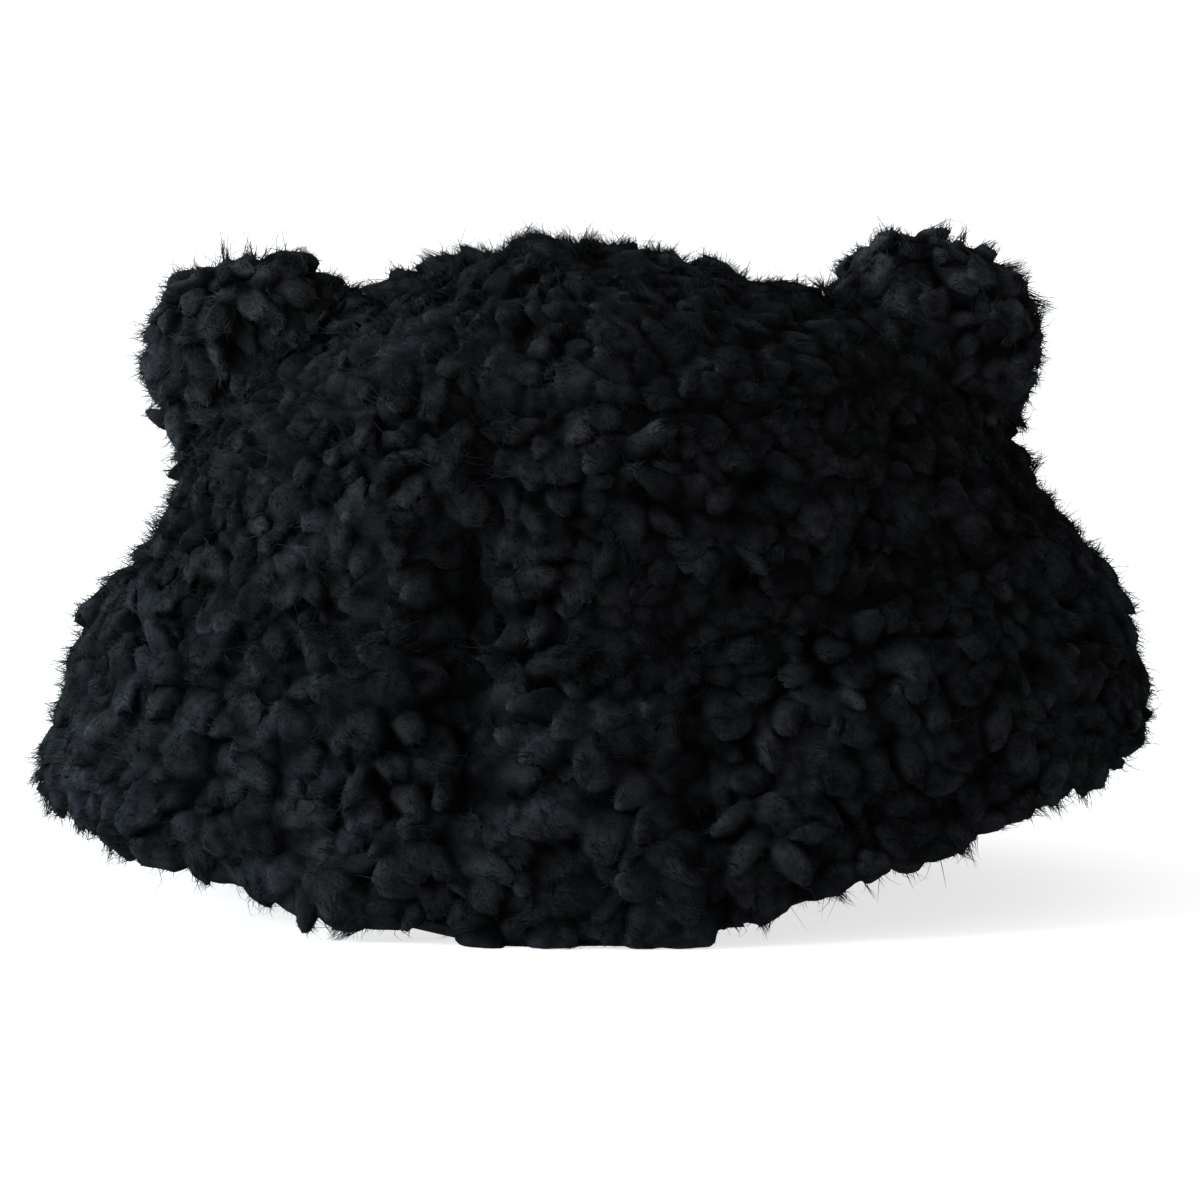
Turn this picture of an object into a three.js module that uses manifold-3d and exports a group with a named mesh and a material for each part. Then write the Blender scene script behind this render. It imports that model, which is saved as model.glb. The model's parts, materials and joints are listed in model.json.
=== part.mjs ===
// A bucket hat of curly pile fleece with two round bear ears, standing on its brim.
// Millimetres, +Z up. The front faces -Y, and the origin is on the floor under the middle of the hat.
import * as THREE from "three";
import { mergeVertices } from "three/addons/utils/BufferGeometryUtils.js";
import Module from "manifold-3d";

// Driving dimensions

const HEAD_SIZE = 580; // round the inside of the crown, where it meets the brim
const PILE = 11; // fleece of the crown, the brim's top and the tip: backing and pile together
const UNDER_PILE = 8; // fleece of the brim's under side
const GAP = 0.3; // left between pieces that are sewn together, on each side of a seam
const SEAM_ROLL = 6; // length over which the pile closes down into a seam
const SEAM_SHARE = 0.6; // of the pile's depth that is left right at a seam
const BAND_SHARE = 0.25; // the same where the brim's under side ends inside the crown
const EDGE_ROLL = 11; // length over which the pile rounds off at the brim's edge
const EDGE_SHARE = 0.06; // of the pile's depth that is left right at the edge
const FLOOR = 0; // the brim is flattened where it rests on the floor
const EDGE_SINK = 4; // how far the brim's edge would reach below the floor if it weren't flattened
const AROUND = 64; // facets round the hat
const SIDE_ROUND = 1.1; // power of the brim's rise from its front to its sides

// The back of the fleece from the brim's edge up to the seam of the tip.
// along: distance up the fleece; girth: length round the hat; width: from left to right;
// front, left and right: heights above the floor there, the back being as the front.
const SECTIONS = [
  { at: "brim edge", along: 0, girth: HEAD_SIZE + 166, width: 271, front: -EDGE_SINK, left: 23, right: 38 },
  { at: "brim middle", along: 34, girth: HEAD_SIZE + 102, width: 258, front: 29, left: 49, right: 62 },
  { at: "brim shoulder", along: 58, girth: HEAD_SIZE + 46, width: 243, front: 53, left: 69, right: 83 },
  { at: "brim seam", along: 70, girth: HEAD_SIZE, width: 224, front: 66, left: 79, right: 92 },
  { at: "waist", along: 102, girth: HEAD_SIZE - 58, width: 190, front: 100, left: 108, right: 116 },
  { at: "tip seam", along: 132, girth: HEAD_SIZE - 135, width: 151, front: 132, left: 127, right: 131 },
];
const alongOf = (place) => SECTIONS.find((row) => row.at === place).along;
const BRIM_SEAM = alongOf("brim seam");
const TIP_SEAM = alongOf("tip seam");
// The domed tip. reach and rise: from its seam to its middle, along the fleece and upwards; frontStart and
// sideStart: degrees from upright at which its arc starts there; lean: how far its middle slumped along x.
const TIP = { reach: 80, rise: 27, frontStart: 18, sideStart: 42, lean: -12 };
const TIP_MIDDLE = TIP_SEAM + TIP.reach;

// Hollows that the soft wall has slumped into.
// angle: degrees round the hat, 270 being the front; along: as in the sections; spread and reach: half sizes
// round and up the wall; slant: how far along shifts for each degree; depth: inwards.
const DENTS = [
  { name: "front valley", angle: 253, spread: 8, along: 70, reach: 52, slant: 0.0, depth: 9 },
  { name: "brim valley", angle: 283, spread: 9, along: 44, reach: 22, slant: 0.0, depth: 6 },
  { name: "brim join", angle: 271, spread: 6, along: 4, reach: 16, slant: 0.0, depth: 4 },
  { name: "edge crease", angle: 305, spread: 12, along: 16, reach: 9, slant: 0.4, depth: 5 },
];

// The ears: middle and radius of the round pad, its thickness, and how square its rim is.
const EARS = [
  { name: "ear_left", x: -88, z: 138, radius: 29.5 },
  { name: "ear_right", x: 87, z: 144, radius: 29 },
];
const EAR_THICKNESS = 25;
const EAR_FULLNESS = 2.5; // power of the pad's profile: 2 is an ellipse, more is fuller
const EAR_RINGS = 8;
const EAR_AROUND = 26;

// Rows of facets up each panel
const BRIM_ROWS = 9;
const SIDE_ROWS = 9;
const TIP_ROWS = 8;
const BACK_ROWS = 5;
const END_EASING = 0.8; // how much closer the rows are at a panel's ends: 0 is even

// Small steps and limits of the working
const HALVINGS = 40;
const ANGLE_STEP = 0.02;
const ALONG_STEP = 0.5;
const POLE_CLEARANCE = 2; // the outward direction is taken at least this far from the tip's middle
const AT_POLE = 0.1;
const SAME_PLACE = 1e-3;

const FLEECE = new THREE.MeshStandardMaterial({
  color: new THREE.Color(0x121316),
  roughness: 0.95,
  metalness: 0,
});

const degrees = THREE.MathUtils.degToRad;

// Half the depth of an ellipse of a girth and half width, found by halving an interval.
function halfDepth(girth, halfWidth) {
  let low = 0;
  let high = girth / 4;
  for (let step = 0; step < HALVINGS; step++) {
    const half = (low + high) / 2;
    const sum = halfWidth + half;
    const root = Math.sqrt((3 * halfWidth + half) * (halfWidth + 3 * half));
    if (Math.PI * (3 * sum - root) < girth) low = half;
    else high = half;
  }
  return low;
}

const columns = (row) => [row.width / 2, halfDepth(row.girth, row.width / 2), row.front, row.left, row.right];
const sectionAlong = new THREE.CubicInterpolant(
  SECTIONS.map((row) => row.along),
  SECTIONS.flatMap(columns),
  columns(SECTIONS[0]).length,
);

// Half width, half depth and the three heights of the hat's section at a distance along the fleece.
function section(along) {
  const [across, deep, front, left, right] = sectionAlong.evaluate(Math.min(along, TIP_SEAM));
  return { across, deep, front, left, right };
}

// How much of the tip seam's width is left at a distance along the dome, and the share of its rise there.
function dome(angle, along) {
  const sideways = Math.cos(angle) ** 2;
  const start = degrees(THREE.MathUtils.lerp(TIP.frontStart, TIP.sideStart, sideways));
  const turn = THREE.MathUtils.lerp(start, Math.PI / 2, Math.max(along - TIP_SEAM, 0) / TIP.reach);
  const climbed = (Math.sin(turn) - Math.sin(start)) / (1 - Math.sin(start));
  return { share: Math.cos(turn) / Math.cos(start), climbed };
}

// How far the dents push a point of the wall inwards.
function dentDepth(angle, along) {
  return DENTS.reduce((sum, dent) => {
    const apart = angle - degrees(dent.angle) + Math.PI;
    const turned = THREE.MathUtils.euclideanModulo(apart, 2 * Math.PI) - Math.PI;
    const round = turned / degrees(dent.spread);
    const shifted = dent.slant * THREE.MathUtils.radToDeg(turned);
    const up = (along - dent.along - shifted) / dent.reach;
    return sum + dent.depth * Math.exp(-round * round - up * up);
  }, 0);
}

// A point on the back of the fleece, on its smooth form and then pushed in by the dents.
function back(angle, along) {
  const { across, deep, front, left, right } = section(along);
  const { share, climbed } = dome(angle, along);
  const cos = Math.cos(angle);
  const sin = Math.sin(angle);
  const side = cos < 0 ? left : right;
  const rim = THREE.MathUtils.lerp(front, side, Math.abs(cos) ** SIDE_ROUND);
  const middle = (front + left + right) / 3 + TIP.rise;
  const dent = dentDepth(angle, along);
  const height = THREE.MathUtils.lerp(rim, middle, climbed);
  const x = (across - dent) * share * cos + TIP.lean * climbed ** 2;
  return new THREE.Vector3(x, (deep - dent) * share * sin, height);
}

// The outward direction of the wall, from two small steps on its back.
function outward(angle, along) {
  const up = Math.min(along, TIP_MIDDLE - POLE_CLEARANCE);
  const round = back(angle + ANGLE_STEP, up).sub(back(angle - ANGLE_STEP, up));
  const climb = back(angle, up + ALONG_STEP).sub(back(angle, up - ALONG_STEP));
  return round.cross(climb).normalize();
}

// A point at a depth of fleece outside the back of the wall, or inside it if depth is below 0.
function wallPoint(angle, along, depth) {
  const point = back(angle, along);
  if (along > TIP_MIDDLE - AT_POLE) point.z += depth;
  else point.addScaledVector(outward(angle, along), depth);
  point.z = Math.max(point.z, FLOOR);
  return point;
}

// Turns a closed profile of (depth, along) points round the hat, and sets every vertex on the wall.
// A profile with its pile inside the back is turned round, so that its faces still point out.
// With a foot, the profile's first point is there all the way round, which closes the solid's under side.
function wrapped(profile, side = 1, foot = null) {
  const lathe = new THREE.LatheGeometry(profile, AROUND);
  const places = lathe.attributes.position;
  for (let vertex = 0; vertex < places.count; vertex++) {
    const turn = Math.floor(vertex / profile.length) % AROUND;
    const { x: depth, y: along } = profile[vertex % profile.length];
    const closing = foot && vertex % profile.length === 0;
    const angle = (turn / AROUND) * 2 * Math.PI;
    const point = closing ? foot : wallPoint(angle, along, depth);
    places.setXYZ(vertex, point.x, point.y, point.z);
  }
  return merged(lathe, side < 0);
}

// The same geometry with shared vertices and without the flat triangles at a pole.
function merged(geometry, turnedRound = false) {
  geometry.deleteAttribute("normal");
  geometry.deleteAttribute("uv");
  const shared = mergeVertices(geometry, SAME_PLACE);
  const corners = shared.index.array;
  const kept = [];
  for (let i = 0; i < corners.length; i += 3) {
    const [a, b, c] = corners.slice(i, i + 3);
    if (a !== b && b !== c && c !== a) kept.push(a, ...(turnedRound ? [c, b] : [b, c]));
  }
  shared.setIndex(kept);
  return shared;
}

// How much of the pile's depth is left at a distance from a panel's end.
function rounding(distance, roll, share) {
  const rest = 1 - Math.min(distance / roll, 1);
  return share + (1 - share) * Math.sqrt(1 - rest * rest);
}

// Distances along a panel, closer together towards its ends, as a circle's points are from the side.
function spaced(low, high, rows) {
  return Array.from({ length: rows + 1 }, (_, row) => {
    const share = row / rows;
    const eased = (1 - Math.cos(share * Math.PI)) / 2;
    return THREE.MathUtils.lerp(low, high, THREE.MathUtils.lerp(share, eased, END_EASING));
  });
}

// The pile side of a panel's profile, from its low end to its high one.
// side: 1 for pile outside the back of the fleece, -1 for inside; start: depth of the panel's own back.
function pileSide({ low, high, rows, pile, lowEnd, highEnd, side = 1, start = 0 }) {
  return spaced(low, high, rows).map((along) => {
    const ends = Math.min(
      rounding(along - low, lowEnd.roll, lowEnd.share),
      rounding(high - along, highEnd.roll, highEnd.share),
    );
    return new THREE.Vector2(side * (start + pile * ends), along);
  });
}

// The closed profile of a panel: its pile side, then its back from high to low.
function panelProfile(panel) {
  const { low, high, side = 1, start = 0 } = panel;
  const outline = pileSide(panel);
  const backSide = spaced(low, high, BACK_ROWS)
    .reverse()
    .map((along) => new THREE.Vector2(side * start, along));
  return [...outline, ...backSide, outline[0].clone()];
}

// The panels: their ends along the fleece and how their pile closes there
const SEAM_END = { roll: SEAM_ROLL, share: SEAM_SHARE };
const EDGE_END = { roll: EDGE_ROLL, share: EDGE_SHARE };
const BAND_END = { roll: UNDER_PILE, share: BAND_SHARE };
const NO_END = { roll: SEAM_ROLL, share: 1 };
const BRIM = { low: 0, high: BRIM_SEAM - GAP, rows: BRIM_ROWS, lowEnd: EDGE_END };
const BRIM_TOP = { ...BRIM, pile: PILE, highEnd: SEAM_END };
const BRIM_UNDER = { ...BRIM, pile: UNDER_PILE, highEnd: BAND_END, side: -1, start: GAP };
const CROWN_SIDE = {
  low: BRIM_SEAM + GAP,
  high: TIP_SEAM - GAP,
  rows: SIDE_ROWS,
  pile: PILE,
  lowEnd: SEAM_END,
  highEnd: SEAM_END,
};
const CROWN_TIP = {
  low: TIP_SEAM + GAP,
  high: TIP_MIDDLE,
  rows: TIP_ROWS,
  pile: PILE,
  lowEnd: SEAM_END,
  highEnd: NO_END,
};

const panelSolid = (panel) => wrapped(panelProfile(panel), panel.side);

// The whole crown as one solid, a gap wider than its pile, which the ears are cut by.
function crownEnvelope() {
  const outside = [CROWN_SIDE, CROWN_TIP].flatMap((panel) => pileSide({ ...panel, start: GAP }));
  const floorMiddle = new THREE.Vector3(0, 0, section(BRIM_SEAM).front);
  return wrapped([outside[0].clone(), ...outside], 1, floorMiddle);
}

const wasm = await Module();
wasm.setup();

const solid = (geometry) =>
  new wasm.Manifold(
    new wasm.Mesh({
      numProp: 3,
      vertProperties: geometry.attributes.position.array,
      triVerts: new Uint32Array(geometry.index.array),
    }),
  );

function geometryOf(body) {
  const { vertProperties, triVerts } = body.getMesh();
  return new THREE.BufferGeometry()
    .setAttribute("position", new THREE.BufferAttribute(vertProperties, 3))
    .setIndex(new THREE.BufferAttribute(triVerts, 1));
}

// A round pad, thickest in its middle, whose axis is Y as a lathe's is.
function earPad(radius) {
  const profile = Array.from({ length: 2 * EAR_RINGS + 1 }, (_, ring) => {
    const turn = (ring / EAR_RINGS - 1) * (Math.PI / 2);
    const square = (value) => Math.sign(value) * Math.pow(Math.abs(value), 2 / EAR_FULLNESS);
    return new THREE.Vector2(radius * square(Math.cos(turn)), (EAR_THICKNESS / 2) * square(Math.sin(turn)));
  });
  profile[0].setX(0);
  profile[2 * EAR_RINGS].setX(0);
  return merged(new THREE.LatheGeometry(profile, EAR_AROUND));
}

// An ear's pad, cut to sit on the crown's shoulder.
function earOn({ x, z, radius }) {
  const crown = solid(crownEnvelope()).translate([-x, 0, -z]);
  return geometryOf(solid(earPad(radius)).subtract(crown));
}

function piece(name, geometry, material) {
  const mesh = new THREE.Mesh(geometry, material);
  mesh.name = name;
  return mesh;
}

const hat = new THREE.Group();
const ears = EARS.map((ear) => {
  const mesh = piece(ear.name, earOn(ear), FLEECE);
  mesh.position.set(ear.x, 0, ear.z);
  return mesh;
});
hat.add(
  piece("crown_tip", panelSolid(CROWN_TIP), FLEECE),
  piece("crown_side", panelSolid(CROWN_SIDE), FLEECE),
  piece("brim_top", panelSolid(BRIM_TOP), FLEECE),
  piece("brim_under", panelSolid(BRIM_UNDER), FLEECE),
  ...ears,
);

export default hat;
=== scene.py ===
"""A bear-ear bucket hat of curly black pile fleece: its looks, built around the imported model.

Every panel and ear has three pieces. Its fleece is a closed shell with a knit inside and a pile of rounded
locks outside. Its fuzz is short fibres and tufts on the locks, and its hairs curl off them. Sizes are in
metres.
"""

import itertools
import json
import math
from typing import NamedTuple

import bmesh
import bpy
import numpy as np
from bpy.props import FloatProperty, FloatVectorProperty, PointerProperty
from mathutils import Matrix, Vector, noise
from mathutils.bvhtree import BVHTree
from mathutils.kdtree import KDTree


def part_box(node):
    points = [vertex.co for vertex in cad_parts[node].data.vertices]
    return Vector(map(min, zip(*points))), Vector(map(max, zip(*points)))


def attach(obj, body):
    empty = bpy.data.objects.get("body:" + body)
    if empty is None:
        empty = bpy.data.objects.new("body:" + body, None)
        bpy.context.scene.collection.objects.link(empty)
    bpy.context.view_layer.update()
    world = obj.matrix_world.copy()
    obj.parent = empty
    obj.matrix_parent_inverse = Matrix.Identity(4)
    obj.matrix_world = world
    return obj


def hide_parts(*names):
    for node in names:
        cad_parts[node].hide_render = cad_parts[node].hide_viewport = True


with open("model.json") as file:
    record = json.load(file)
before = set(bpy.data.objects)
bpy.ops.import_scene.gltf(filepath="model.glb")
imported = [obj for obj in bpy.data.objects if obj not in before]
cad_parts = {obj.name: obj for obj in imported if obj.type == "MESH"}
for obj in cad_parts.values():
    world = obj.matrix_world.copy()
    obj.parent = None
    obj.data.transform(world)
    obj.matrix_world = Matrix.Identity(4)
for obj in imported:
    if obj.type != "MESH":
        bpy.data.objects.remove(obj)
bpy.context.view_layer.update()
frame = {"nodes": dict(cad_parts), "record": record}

bl_info = {
    "name": "Curly fleece bear-ear hat",
    "version": (1, 0, 0),
    "blender": (4, 5, 0),
    "location": "View3D > Sidebar > Fleece Hat",
    "description": "Makes the curly fleece and the fuzz of the hat's panels and ears",
    "category": "Object",
}

MM = 0.001
BODY = "root"
SLOT_COLOUR = {row["slot"]: row["base_color"] for row in frame["record"]["materials"]}

# Points of a node's mesh nearer than this are one point.
JOIN_DISTANCE = 0.001 * MM
# How far inside a wall's face the search for its other face starts.
WALL_START = 10 * JOIN_DISTANCE
# The least length that a vector is divided by.
TINY = 1e-12
# Candidates drawn for each place that finds room.
CANDIDATES = 9
# Distance between the points of the whole hat's skin, and how far round a place they are looked at: for the
# way that the pile faces, and for how deep a fold is.
SKIN_GAP = 3.5 * MM
SKIN_REACH = 11 * MM
FOLD_REACH = 20 * MM
# The depth that this share of the skin round a place lies over it is what the pile can fill. A seam's groove
# is filled up to the most, less with the distance from the seam, and a fold hardly.
FILLED_SHARE = 0.8
SEAM_FILLED = 7 * MM
SEAM_REACH = 9 * MM
FOLD_FILLED = 0.5 * MM
# The depth of a fold that is painted fully dark, as painted shade.
FOLD_DEPTH = 3 * MM
# The least agreement between two directions that face alike. A lock has its full height from twice as much.
ALIKE = 0.2
# The largest share of a wall that the roots of the pile may sink into.
ROOT_SHARE = 0.5
# How far a panel's pile reaches over its seams, and how far it sinks there, so that no slit or edge shows.
SEAM_OVERLAP = 4 * MM
SEAM_SINK = 1.5 * MM
# The shares of a lock's height between which its painted shade goes from dark, low down where it meets
# its neighbours, to light.
OPEN_SHARE = 0.85
CLOSED_SHARE = 0.32
# Locks that are looked at for the height of the pile at one place.
NEAR_LOCKS = 9
# Seeds of the whole hat's draws, of the way that its locks lean and of the warp of their outlines.
PELT_SEED = 1
LEAN_SEED = 7
WARP_SEED = 3
# Width and size of that warp, against the ruffle's.
WARP_WIDTH = 1.5
WARP_SIZE = 2
# The range of a lock's size, the mean and spread of its tone with their range, and the range of its tuft's
# reach.
UNEVEN_RANGE = (0.6, 1.8)
LOCK_TONE = (0.86, 0.19)
LOCK_TONE_RANGE = (0.38, 1.2)
TUFT_RANGE = (0.6, 1.5)
# How far apart on the strand map the locks and fibres may lie.
MAP_SPREAD = 50
# Ranges of the thickness of short fibres, tuft fibres and hairs.
FIBRE_RADII = (0.7, 1.2)
TUFT_RADII = (0.8, 1.3)
HAIR_RADII = (0.6, 1.1)
# How far a short fibre strays from its lock's direction.
FIBRE_STRAY = 0.4
# Where a tuft starts along its lock, how far its point lies ahead and up, how blunt it is in fibre radii, and
# the range of its fibres' lengths.
TUFT_START = 0.2
TUFT_AHEAD = 1.15
TUFT_UP = 0.5
TUFT_BLUNT = 10
TUFT_LENGTHS = (0.7, 1.1)
# How far a hair strays, how far the way that it curls strays and turns back, how much it curls, and how far
# the way that it is lit strays.
HAIR_STRAY = 0.6
CURL_STRAY = 0.7
CURL_BACK = 0.5
HAIR_BENDS = (1.2, 3.6)
LIGHT_STRAY = 0.4
# The bend of a straight fibre, and the places of a curled hair's joints along it.
STRAIGHT = 0.01
HAIR_JOINTS = (0.35, 0.7)
# Pile nearer to the floor than this is pressed flat against it.
FLOOR_SQUASH = 1.6 * MM
# The share of an atlas cell that is left bare round what is in it.
CELL_MARGIN = 0.1
# The material slot of a panel's or ear's pile. Its knit inside has slot 0.
PILE = 1
# Size of one lock in the map that its strands are drawn on.
STRAND_MAP = (0.33, 1.0)


class Cover(NamedTuple):
    """How one panel or ear is covered with pile."""

    node: str
    slot: str
    # 1 where the pile faces away from the middle of the hat or ear, -1 where it faces towards it.
    side: int
    # Least distance between locks, and their size against the usual lock.
    gap: float
    size: float
    # How strongly the locks hang downwards, and their tone, which is painted light: each panel or ear is
    # painted lighter or darker for how the light falls on it.
    hang: float
    tone: float
    # Cuts along each edge of the wall's pile side, short fibres all over it, fibres in its locks' tufts, and
    # hairs.
    cuts: int
    fibres: int
    tufts: int
    hairs: int
    seed: int


CROWN = [
    Cover("crown_tip", "crown_fleece", 1, gap=5.4 * MM, size=0.92, hang=0.6, tone=0.92, cuts=6, fibres=10000,
          tufts=6000, hairs=1500, seed=11),
    Cover("crown_side", "crown_fleece", 1, gap=5.6 * MM, size=0.95, hang=0.7, tone=0.92, cuts=7, fibres=19000,
          tufts=11500, hairs=3000, seed=12),
]
BRIM = [
    Cover("brim_top", "brim_fleece", 1, gap=6.6 * MM, size=1.12, hang=0.7, tone=0.9, cuts=8, fibres=21000,
          tufts=13000, hairs=3500, seed=13),
    Cover("brim_under", "under_fleece", -1, gap=6.8 * MM, size=1.1, hang=0.3, tone=1.0, cuts=6, fibres=10000,
          tufts=3000, hairs=1000, seed=14),
]
# The ears' high tones are painted light: the ears are painted lighter than the crown, the right one most.
EARS = [
    Cover("ear_left", "ear_fleece", 1, gap=5.2 * MM, size=0.88, hang=0.6, tone=1.75, cuts=5, fibres=4000,
          tufts=3000, hairs=1000, seed=15),
    Cover("ear_right", "ear_fleece", 1, gap=5.2 * MM, size=0.88, hang=0.6, tone=2.05, cuts=5, fibres=4000,
          tufts=3000, hairs=1000, seed=16),
]
COVERS = CROWN + BRIM + EARS
# The middle of the hat's hollow.
HEART = Vector((0, 0, 50 * MM))


class Fold(NamedTuple):
    """A sharp fold on the hat's front: its line seen from the front, in x and z, its half width, and how far
    it presses the pile, from 0 to 1, which also paints the pressed locks darker as painted shade. Sizes in
    millimetres."""

    line: tuple
    half_width: float
    press: float


FOLDS = [
    Fold(((-25, 153), (-27, 129), (-30, 101)), half_width=4.0, press=0.45),
    Fold(((-30, 101), (-34, 80), (-33, 61), (-31, 38)), half_width=5.5, press=0.85),
    Fold(((26, 62), (28, 42), (28, 22)), half_width=5.5, press=0.7),
    Fold(((52, 18), (79, 30), (105, 41)), half_width=4.0, press=0.75),
]


class PileSettings(bpy.types.PropertyGroup):
    """The rounded locks of the pile."""

    depth: FloatProperty(
        name="Pile depth", description="From the pile's face down to its roots",
        default=4.6 * MM, unit="LENGTH")
    half_length: FloatProperty(
        name="Half length", description="Usual half length of a lock",
        default=6.4 * MM, unit="LENGTH")
    half_width: FloatProperty(
        name="Half width", description="Usual half width of a lock",
        default=5.0 * MM, unit="LENGTH")
    height: FloatProperty(
        name="Height", description="Usual height of a lock over its root",
        default=5.4 * MM, unit="LENGTH")
    uneven: FloatProperty(
        name="Uneven", description="How much the locks' sizes differ",
        default=0.33, min=0, max=0.4)
    rise: FloatProperty(
        name="Rise", description="How much a lock rises from its root to its tip",
        default=0.75, min=0, max=1)
    flat: FloatProperty(
        name="Flatness", description="How flat a lock's top is: 1 is a dome, more is flatter",
        default=2.2, min=1, max=6)
    overhang: FloatProperty(
        name="Overhang", description="How far a lock's tip leans over, against its height",
        default=0.75, min=0, max=1)
    ruffle: FloatProperty(
        name="Ruffle", description="Size of the small folds on the locks",
        default=0.8 * MM, unit="LENGTH")
    ruffle_width: FloatProperty(
        name="Ruffle width", description="Width of the small folds on the locks",
        default=3.2 * MM, unit="LENGTH")
    puff: FloatProperty(
        name="Puff", description="How far the fleece swells and sinks from place to place",
        default=1.8 * MM, unit="LENGTH")
    puff_width: FloatProperty(
        name="Puff width", description="Distance over which the fleece swells and sinks",
        default=28 * MM, unit="LENGTH")
    swirl: FloatProperty(
        name="Swirl", description="How strongly the locks turn with their neighbours",
        default=0.9, min=0, max=3)
    stray: FloatProperty(
        name="Stray", description="How strongly each lock turns its own way",
        default=0.75, min=0, max=3)
    # Painted shade: a lock's root is painted darker than its tip, where its neighbours shade it.
    painted_root_shade: FloatProperty(
        name="Root shade", description="Tone of a lock's root against its tip",
        default=0.1, min=0, max=1, subtype="FACTOR")
    # Painted shade: the pile is painted darker in folds and creases.
    painted_fold_shade: FloatProperty(
        name="Fold shade", description="How much darker the pile is in folds",
        default=0.6, min=0, max=1, subtype="FACTOR")
    cast: FloatProperty(
        name="Colour cast", description="How much the locks' colours differ from place to place",
        default=0.3, min=0, max=2)
    sheen_tint: FloatVectorProperty(
        name="Sheen tint", description="Colour of the soft light on the locks' edges",
        default=(0.74, 0.86, 1.0), subtype="COLOR", min=0, max=1)
    sheen: FloatProperty(
        name="Sheen", description="Strength of the soft light on the locks' edges",
        default=0.006, min=0, max=1, subtype="FACTOR")


class FuzzSettings(bpy.types.PropertyGroup):
    """The loose fibres on the locks."""

    length: FloatProperty(
        name="Fibre length", description="Usual length of a loose fibre",
        default=2.2 * MM, unit="LENGTH")
    spread: FloatProperty(
        name="Length spread", description="How much the fibres' lengths differ",
        default=0.4, min=0, max=1)
    radius: FloatProperty(
        name="Fibre radius", description="Thickness of a loose fibre's root from its middle",
        default=0.14 * MM, unit="LENGTH")
    comb: FloatProperty(
        name="Comb", description="How strongly the fibres follow their lock",
        default=0.8, min=0, max=3)
    # Painted highlight: a fibre is painted lighter towards its tip than at its root.
    painted_tip_light: FloatProperty(
        name="Tip tone", description="Tone of a fibre's tip against its root",
        default=1.5, min=0, max=3)
    hair: FloatProperty(
        name="Hair length", description="Usual length of a curled hair",
        default=6.5 * MM, unit="LENGTH")
    tuft: FloatProperty(
        name="Tuft reach", description="How far a lock's tuft reaches, against half its length",
        default=0.75, min=0, max=2)


class BackSettings(bpy.types.PropertyGroup):
    """The knit inside of the fleece."""

    stitch: FloatProperty(
        name="Knit stitch", description="Width of one knit stitch",
        default=1.3 * MM, unit="LENGTH")
    colour: FloatVectorProperty(
        name="Knit colour", description="Colour of the knit",
        default=(0.0070, 0.0075, 0.0088), subtype="COLOR", min=0, max=1)


class StageSettings(bpy.types.PropertyGroup):
    """Floor, light and camera."""

    floor_radius: FloatProperty(
        name="Floor radius", description="Radius of the floor",
        default=8.0, unit="LENGTH")
    floor_colour: FloatVectorProperty(
        name="Floor colour", description="Colour of the floor",
        default=(0.4, 0.4, 0.4), subtype="COLOR", min=0, max=1)
    floor_glow: FloatProperty(
        name="Floor glow", description="Light of the floor itself, as on a light table",
        default=0.72, min=0)
    sky: FloatProperty(
        name="Sky light", description="Strength of the even white light",
        default=0.85, min=0)
    key_power: FloatProperty(
        name="Key light", description="Power of the main light",
        default=345.0, unit="POWER")
    key_size: FloatProperty(
        name="Key size", description="Side of the main light",
        default=1.8, unit="LENGTH")
    key_colour: FloatVectorProperty(
        name="Key colour", description="Colour of the main light",
        default=(0.82, 0.96, 1.0), subtype="COLOR", min=0, max=1)
    key_place: FloatVectorProperty(
        name="Key place", description="Place of the main light",
        default=(-2.9, -0.7, 1.1), subtype="TRANSLATION")
    elevation: FloatProperty(
        name="Camera height", description="Angle that the camera looks down by",
        default=math.radians(7), subtype="ANGLE")
    distance: FloatProperty(
        name="Camera distance", description="From the camera to the hat",
        default=2.5, unit="LENGTH")
    view_width: FloatProperty(
        name="View width", description="Width of the picture at the hat",
        default=312 * MM, unit="LENGTH")
    target: FloatVectorProperty(
        name="Target", description="Point at the middle of the picture",
        default=(1.3 * MM, 0, 75.6 * MM), subtype="TRANSLATION")


class Shape(NamedTuple):
    """What a fibre is made from: for each point, its place round the fibre, and along it from 0 to 1."""

    across: np.ndarray
    above: np.ndarray
    rise: np.ndarray
    triangles: np.ndarray
    corner_uv: np.ndarray


class Fibres(NamedTuple):
    """Fibres, a row for each: where they start, where they point and bend to, their sizes and tone, which
    carries the locks' painted shade, and the way that the surface under them faces, which they are lit like."""

    root: np.ndarray
    ahead: np.ndarray
    over: np.ndarray
    bend: np.ndarray
    length: np.ndarray
    radius: np.ndarray
    tone: np.ndarray
    facing: np.ndarray


def unit(rows):
    """Rows of vectors, each made one long."""
    return rows / np.maximum(np.linalg.norm(rows, axis=-1, keepdims=True), TINY)


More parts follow.
